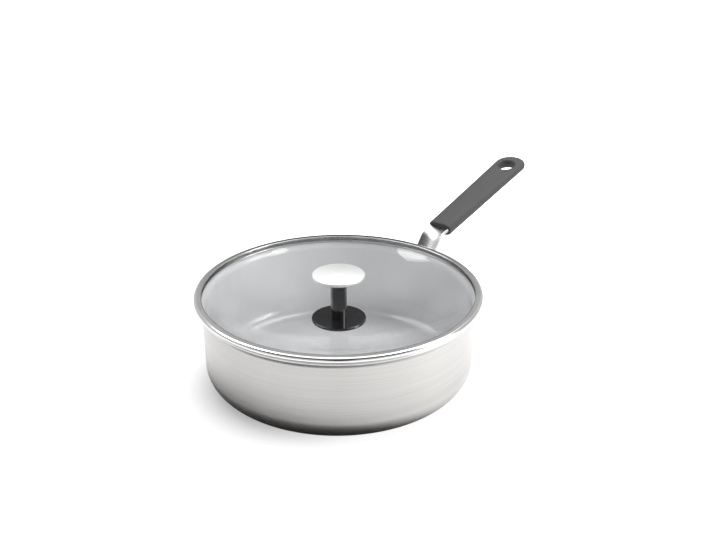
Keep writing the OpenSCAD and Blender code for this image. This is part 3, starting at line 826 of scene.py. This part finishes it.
class PAN_OT_knob(bpy.types.Operator):
    """Turns the knob: base disc, stem, cap, gaskets and washer"""

    bl_idname = "saute_pan.knob"
    bl_label = "Knob"

    def base_disc(self, shape):
        k, top = shape.k, shape.disc_top
        edge = k.base_t / 4
        return joined(
            shape.dish_arc(shape.disc_under_r, shape.screw_hole, k.base_r, steps=16),
            arc((k.base_r - edge, top - edge), edge, 0, 90, steps=8),
            (k.stem_r + GAP, top),
            (k.stem_r + GAP, shape.stem_low),
            (shape.screw_hole, shape.stem_low),
            closed=True,
        )

    def stem(self, shape):
        """Outline of the stem from the end of its stepped bore, round the flare, to the cap plate."""
        k, neck = shape.k, shape.plate_low
        sweep = math.degrees(math.acos((k.stem_r + k.flare_h - k.flare_r) / k.flare_h))
        bore_r, insert_r = k.screw_r + GAP, k.stem_r * INSERT_SHARE
        insert_low = shape.stem_low + k.seat / 2
        insert_top = insert_low + INSERT_LENGTH
        bore_top = insert_top + k.seat / 2 + SCREW_ROOM
        bore = [(0.0, bore_top), (bore_r, bore_top), (bore_r, insert_top), (insert_r, insert_top),
                (insert_r, insert_low), (bore_r, insert_low), (bore_r, shape.stem_low)]
        return bore + joined(
            (k.stem_r, shape.stem_low),
            arc((k.stem_r + k.flare_h, neck - k.flare_h), k.flare_h, 180, 180 - sweep, steps=12),
            (k.flare_r, neck),
            (shape.plate_r, neck),
            (shape.plate_r, shape.plate_top),
            (0.0, shape.plate_top),
        )

    def cap(self, shape):
        k, steps = shape.k, 24
        rounding = k.cap_edge / 2
        flat_r = k.cap_r - rounding
        crown_r = (flat_r ** 2 + k.cap_crown ** 2) / (2 * k.cap_crown)
        crown_z = shape.cap_edge_z + k.cap_crown - crown_r
        places = [flat_r * n / steps for n in range(steps + 1)]
        return joined(
            [(r, crown_z + math.sqrt(crown_r ** 2 - r ** 2)) for r in places],
            arc((flat_r, shape.cap_edge_z - rounding), rounding, 90, 0, steps=10)[1:],
            (k.cap_r, shape.cap_low),
            (shape.plate_r, shape.cap_low),
            (shape.plate_r, shape.plate_top),
            (0.0, shape.plate_top),
        )

    def upper_pad(self, shape):
        sleeve, edge = shape.sleeve_r, shape.k.upper_gasket_r
        return shape.dish_arc(shape.over_r - GAP / 2, sleeve, edge, steps=10) + \
            shape.dish_arc(shape.disc_under_r, edge, sleeve, steps=10)

    def lower_pad(self, shape):
        """Outline of the pad under the glass, with its sleeve up through the glass's hole."""
        edge, top = shape.k.lower_gasket_r, shape.under_z + shape.l.glass - GAP
        return joined(
            (shape.screw_hole, shape.washer_top),
            (edge, shape.washer_top),
            shape.dish_arc(shape.under_r, edge, shape.sleeve_r, steps=8),
            (shape.sleeve_r, top),
            (shape.screw_hole, top),
        )

    def washer(self, shape):
        k, top = shape.k, shape.washer_top
        bevel = k.washer_t / 4
        low = top - k.washer_t
        return [(shape.screw_hole, low), (k.washer_r - bevel, low), (k.washer_r, low + bevel),
                (k.washer_r, top - bevel), (k.washer_r - bevel, top), (shape.screw_hole, top)]

    def execute(self, context):
        shape, f = PanShape(context.scene), context.scene.pan_finishes
        black = gloss_black("Knob black", f.knob_black)
        cap_steel = polished_metal("Cap steel", f.cap_steel, rough=0.5, pitch=1600.0)
        rubber = soft_touch("Gasket rubber", f.gasket_grey, rough=0.5)
        plain = polished_metal("Fastener steel", f.polished_steel, rough=0.28)
        for name, outline, finish, slot, node in (
                ("knob_base_disc", self.base_disc, black, "knob_black", "knob_base"),
                ("knob_waisted_stem", self.stem, black, "knob_black", "knob_stem"),
                ("knob_disc_cap", self.cap, cap_steel, "cap_steel", "knob_cap"),
                ("glass_pad_above", self.upper_pad, rubber, "gasket", "upper_gasket"),
                ("glass_pad_below", self.lower_pad, rubber, "gasket", "lower_gasket"),
                ("clamp_washer", self.washer, plain, "fastener_steel", "screw_washer")):
            place(turned(name, outline(shape), finish), "lid", slot, node)
        dress("knob_screw", plain)
        dress("knob_insert", polished_metal("Insert brass", f.brass, rough=0.3))
        return {"FINISHED"}


class PAN_OT_bracket(bpy.types.Operator):
    """Presses the steel bracket: flange, leg, knee, arm and tang in one sheet"""

    bl_idname = "saute_pan.bracket"
    bl_label = "Handle bracket"

    def stations(self, shape):
        """Stations up the middle of the sheet: place, heading, half width, hollow radius and thickness."""
        p, h = shape.p, shape.h
        mid = p.wall_r + h.arm_t / 2
        leg, tilt = h.leg_tilt, h.handle_tilt
        foot_z = shape.knee[1] - (shape.knee[0] - mid) * math.tan(leg)
        foot_cut = h.foot_r * math.tan((math.pi / 2 - leg) / 2)
        knee_cut = h.knee_r * math.tan((leg - tilt) / 2)
        top_z = foot_z + foot_cut
        low_z = top_z - h.flange_h
        rise_z = foot_z - foot_cut
        path = []

        def run(start, end, turn, parts, taken):
            """Adds the taken ones of the points that part a straight run evenly."""
            for n in taken:
                path.append((start[0] + (end[0] - start[0]) * n / parts,
                             start[1] + (end[1] - start[1]) * n / parts, turn))

        def bend(start, radius, from_turn, to_turn, count):
            cx, cz = start[0] + radius * math.sin(from_turn), start[1] - radius * math.cos(from_turn)
            for n in range(count + 1):
                turn = from_turn + (to_turn - from_turn) * n / count
                path.append((cx - radius * math.sin(turn), cz + radius * math.cos(turn), turn))

        leg_end = (shape.knee[0] - knee_cut * math.cos(leg), shape.knee[1] - knee_cut * math.sin(leg))
        run((mid, low_z), (mid, rise_z), math.pi / 2, parts=26, taken=range(26))
        bend((mid, rise_z), h.foot_r, math.pi / 2, leg, count=12)
        run(path[-1], leg_end, leg, parts=10, taken=range(1, 10))
        bend(leg_end, h.knee_r, leg, tilt, count=14)
        run(path[-1], shape.grip_start, tilt, parts=4, taken=range(1, 5))

        made, travel = [], 0.0
        neck_start, neck_end = ((rise_z - low_z) + end for end in NECK)
        for n, (x, z, turn) in enumerate(path):
            if n:
                travel += math.dist(path[n - 1][:2], (x, z))
            half = h.flange_w / 2
            if travel < h.flange_corner_r:
                drop = h.flange_corner_r - travel
                half -= h.flange_corner_r - math.sqrt(max(h.flange_corner_r ** 2 - drop ** 2, 0.0))
            s = min(max((travel - neck_start) / (neck_end - neck_start), 0.0), 1.0)
            s = s * s * (3 - 2 * s)
            half += (h.arm_w / 2 - h.flange_w / 2) * s
            curve = 1 / mid + (1 / h.arm_dish_r - 1 / mid) * s
            made.append((x, z, turn, half, 1 / curve, h.arm_t))
        for u in (TANG_STEP, h.tang_l / 3, h.tang_l * 2 / 3, h.tang_l):
            spot = shape.grip_start + u * shape.arm_dir
            made.append((spot[0], spot[1], tilt, h.tang_w / 2, TANG_HOLLOW_R, h.tang_t))
        return made

    def section(self, x, z, turn, half, radius, sheet, across=16):
        """The sheet's upper and lower face across one station, curved to its hollow."""
        faces = []
        for face in (1, -1):
            row = []
            for k in range(across + 1):
                a = half * (1 - 2 * k / across) / radius
                n = radius - (radius - face * sheet / 2) * math.cos(a)
                y = (radius - face * sheet / 2) * math.sin(a)
                row.append(Vector((x - n * math.sin(turn), y, z + n * math.cos(turn))))
            faces.append(row)
        return faces[0] + faces[1][::-1]

    def execute(self, context):
        shape, f = PanShape(context.scene), context.scene.pan_finishes
        piece = lofted("handle_pressed_bracket", [self.section(*station) for station in self.stations(shape)])
        edge = piece.modifiers.new("Edge", "BEVEL")
        edge.width = 0.55 * MM
        edge.segments = 3
        edge.limit_method = "ANGLE"
        edge.angle_limit = math.radians(50)
        edge.use_clamp_overlap = True
        applied(piece)
        piece.data.materials.append(polished_metal("Bracket steel", f.bracket_steel, rough=0.27))
        smooth(piece, limit=math.radians(40))
        place(piece, "pan", "arm_steel", "handle_bracket")
        return {"FINISHED"}


class PAN_OT_grip(bpy.types.Operator):
    """Moulds the soft skin of the grip and dresses its core, nut and screw"""

    bl_idname = "saute_pan.grip"
    bl_label = "Grip"

    def execute(self, context):
        shape, f = PanShape(context.scene), context.scene.pan_finishes
        h = shape.h
        rubber = soft_touch("Grip rubber", f.grip_grey)
        skin = lofted("grip_soft_skin", grip_rings(h, GAP, points=72, body_steps=40, end_steps=22))
        hollow = lofted("grip_hollow", grip_rings(h, h.skin_t, points=48, body_steps=12, end_steps=12))
        reach = h.grip_near_t

        def post(name, outline, u, steps=72):
            made = turned(name, outline, rubber, steps)
            made.data.transform(Matrix.Translation((u, 0, 0)))
            return made

        wall_r = h.hang_r + h.skin_t
        cut(hollow, post("hole_wall", [(0.0, -reach), (wall_r, -reach), (wall_r, reach), (0.0, reach)],
                         shape.hang_u))
        half, r = half_thickness(h, shape.hang_u), h.hang_round
        flare = [(h.hang_r + r * (1 - math.cos(a)), half - r + r * math.sin(a))
                 for a in (math.radians(d) for d in range(0, 81, 8))]
        rim = (flare[-1][0] + MARGIN, half + MARGIN)
        bore = [(0.0, reach), rim] + flare[::-1] + [(x, -z) for x, z in flare] + \
            [(rim[0], -rim[1]), (0.0, -reach)]
        hang = post("hang_bore", bore, shape.hang_u, steps=96)
        low = h.skin_t / 5 - half_thickness(h, h.screw_u)
        head, shank = h.screw_head_r + GAP / 2, h.screw_r + GAP / 2
        seat = post("screw_seat", [(0.0, low - reach), (head, low - reach), (head, low),
                                   (shank, low + SEAT_CONE), (shank, 0.0), (0.0, 0.0)], h.screw_u, steps=48)
        slot = lofted("tang_slot", [
            [Vector((u, y * (h.tang_w / 2 + GAP), z * (h.tang_t / 2 + GAP)))
             for y, z in ((1, -1), (1, 1), (-1, 1), (-1, -1))] for u in (-reach, h.tang_l + GAP)])
        cut(skin, hollow, hang, seat, slot)
        skin.data.transform(shape.in_grip())
        skin.data.materials.clear()
        skin.data.materials.append(rubber)
        smooth(skin, limit=math.radians(38), merge=0.001 * MM)
        place(skin, "pan", "grip_skin", "grip_skin")
        dress("grip_core", soft_touch("Core nylon", f.core_nylon, rough=0.5))
        plain = bpy.data.materials["Fastener steel"]
        for node in ("tang_nut", "grip_screw"):
            dress(node, plain)
        return {"FINISHED"}


def aim(piece, spot, ahead):
    """Puts a lamp or the camera at a spot, looking ahead."""
    piece.matrix_world = Matrix.Translation(spot) @ ahead.to_track_quat("-Z", "Y").to_matrix().to_4x4()


class PAN_OT_stage(bpy.types.Operator):
    """Lays the pale floor and sets the soft light and the camera"""

    bl_idname = "saute_pan.stage"
    bl_label = "Stage"

    def floor_finish(self, s, spin, right):
        """Pale floor with a painted shadow and lift for the camera, and a painted shade and glow for what
        metal and glass mirror.
        """
        made = bpy.data.materials.new("Floor")
        flow = emptied(made)
        seen, mirrored, through = flow.node("ShaderNodeLightPath").ends(
            "Is Camera Ray", "Is Glossy Ray", "Is Transmission Ray")
        shown = flow.math("MINIMUM", seen + through, 1.0)
        x, y, _ = flow.node("ShaderNodeTexCoord", out="Object").parts()

        def distance(shift):
            centre = spin @ Vector((shift[0], shift[1], 0))
            off_x, off_y = x - centre[0], y - centre[1]
            return (off_x * off_x + off_y * off_y) ** 0.5

        away, clear = distance(s.shade_shift), distance(s.mirrored_shift)
        # painted shadow for the camera, on top of the lamps' own shadows: towards an off-centre point the
        # floor darkens and its lift drops
        painted_shadow_tone = away.ease(*SEEN_TONE).blend(s.shade_colour, s.floor_colour)
        # painted shade that only reflections see, round a second off-centre point
        painted_mirrored_shade = clear.ease(*MIRRORED_TONE).blend(s.mirrored_shade_colour, s.floor_colour)
        lift = away.ease(*SEEN_LIFT, s.shade_lift, s.near_lift) + away.ease(*FAR_LIFT, 0.0, s.far_lift)
        # painted reflection: the floor glows only for metal and glass, rising away from the pan and towards
        # the picture's right
        beside = (x * right[0] + y * right[1]).ease(*SIDE_LIFT, 0.0, s.side_lift)
        painted_glow = clear.ease(*MIRRORED_LIFT, 0.0, s.mirrored_lift) + beside
        tone = mirrored.blend(painted_shadow_tone, painted_mirrored_shade)
        surface = flow.node("ShaderNodeBsdfDiffuse", None, {"Color": tone})
        added = flow.node("ShaderNodeEmission", None, {"Strength": shown * lift + mirrored * painted_glow})
        both = flow.node("ShaderNodeAddShader", None, {0: surface, 1: added})
        flow.node("ShaderNodeOutputMaterial", None, {"Surface": both})
        return made

    def sky(self, s, right, over):
        """Even light, brightest overhead and with a low glow at both sides."""
        world = bpy.data.worlds.new("Studio")
        flow = emptied(world)
        x, y, z = flow.node("ShaderNodeTexCoord", out="Generated").parts()
        across = flow.math("ABSOLUTE", x * right[0] + y * right[1])
        glow = across.ease(*SIDE_GLOW, 0.0, s.sky_sides) * z.ease(*SIDE_GLOW_TOP, 1.0, 0.0)
        height = x * over[0] + y * over[1] + z * over[2]
        above = height.ease(*OVERHEAD_GLOW, s.sky_low, s.sky_high)
        light = flow.node("ShaderNodeBackground", None, {"Color": (1, 1, 1, 1), "Strength": above + glow})
        flow.node("ShaderNodeOutputWorld", None, {"Surface": light})
        return world

    def execute(self, context):
        scene = context.scene
        s = scene.stage_settings
        spin = Matrix.Rotation(-s.turn, 4, "Z")
        right = spin @ Vector((1, 0, 0))
        floor = link("floor", bpy.data.meshes.new("floor"))
        corners = ((-1, -1), (1, -1), (1, 1), (-1, 1))
        floor.data.from_pydata([(FLOOR_HALF * x, FLOOR_HALF * y, -FLOOR_DROP) for x, y in corners], [],
                               [(0, 1, 2, 3)])
        floor.data.materials.append(self.floor_finish(s, spin, right))
        scene.world = self.sky(s, right, spin @ Vector(OVERHEAD))

        for name, setting, width, height, spot in LAMPS:
            data = bpy.data.lights.new(name, "AREA")
            data.shape = "ELLIPSE"
            data.size, data.size_y = width, height
            data.energy = getattr(s, setting) * math.pi * (math.pi / 4 * width * height)
            spot = spin @ Vector(spot)
            aim(link(name, data), spot, spin @ Vector(LAMP_AIM) - spot)

        data = bpy.data.cameras.new("camera")
        data.lens = s.lens
        data.sensor_width = 36.0
        data.clip_start = 0.01
        scene.camera = link("camera", data)
        ahead = Vector((math.sin(s.yaw) * math.cos(s.pitch), math.cos(s.yaw) * math.cos(s.pitch),
                        -math.sin(s.pitch)))
        aim(scene.camera, spin @ Vector((0, -s.distance, s.rise)), spin @ ahead)
        scene.view_settings.view_transform = "Standard"
        return {"FINISHED"}


class PAN_PT_panel(bpy.types.Panel):
    """Lists the pan's pieces in the sidebar"""

    bl_idname = "PAN_PT_panel"
    bl_label = "Saute pan"
    bl_space_type = "VIEW_3D"
    bl_region_type = "UI"
    bl_category = "Saute pan"

    def draw(self, context):
        for maker in MAKERS:
            self.layout.operator(maker.bl_idname)
        for name, kind in GROUPS.items():
            box = self.layout.box()
            box.label(text=kind.__doc__)
            for prop in kind.__annotations__:
                box.prop(getattr(context.scene, name), prop)


MAKERS = (PAN_OT_body, PAN_OT_glass, PAN_OT_band, PAN_OT_knob, PAN_OT_bracket, PAN_OT_grip, PAN_OT_stage)
GROUPS = {"pan_sizes": PanSizes, "lid_sizes": LidSizes, "knob_sizes": KnobSizes, "handle_sizes": HandleSizes,
          "pan_finishes": PanFinishes, "stage_settings": StageSettings}


def register():
    for kind in (*GROUPS.values(), *MAKERS, PAN_PT_panel):
        bpy.utils.register_class(kind)
    for name, kind in GROUPS.items():
        setattr(bpy.types.Scene, name, PointerProperty(type=kind))


def unregister():
    for name in GROUPS:
        delattr(bpy.types.Scene, name)
    for kind in (PAN_PT_panel, *MAKERS[::-1], *list(GROUPS.values())[::-1]):
        bpy.utils.unregister_class(kind)


def main():
    register()
    for maker in MAKERS:
        group, action = maker.bl_idname.split(".")
        getattr(getattr(bpy.ops, group), action)()


if __name__ == "__main__":
    main()
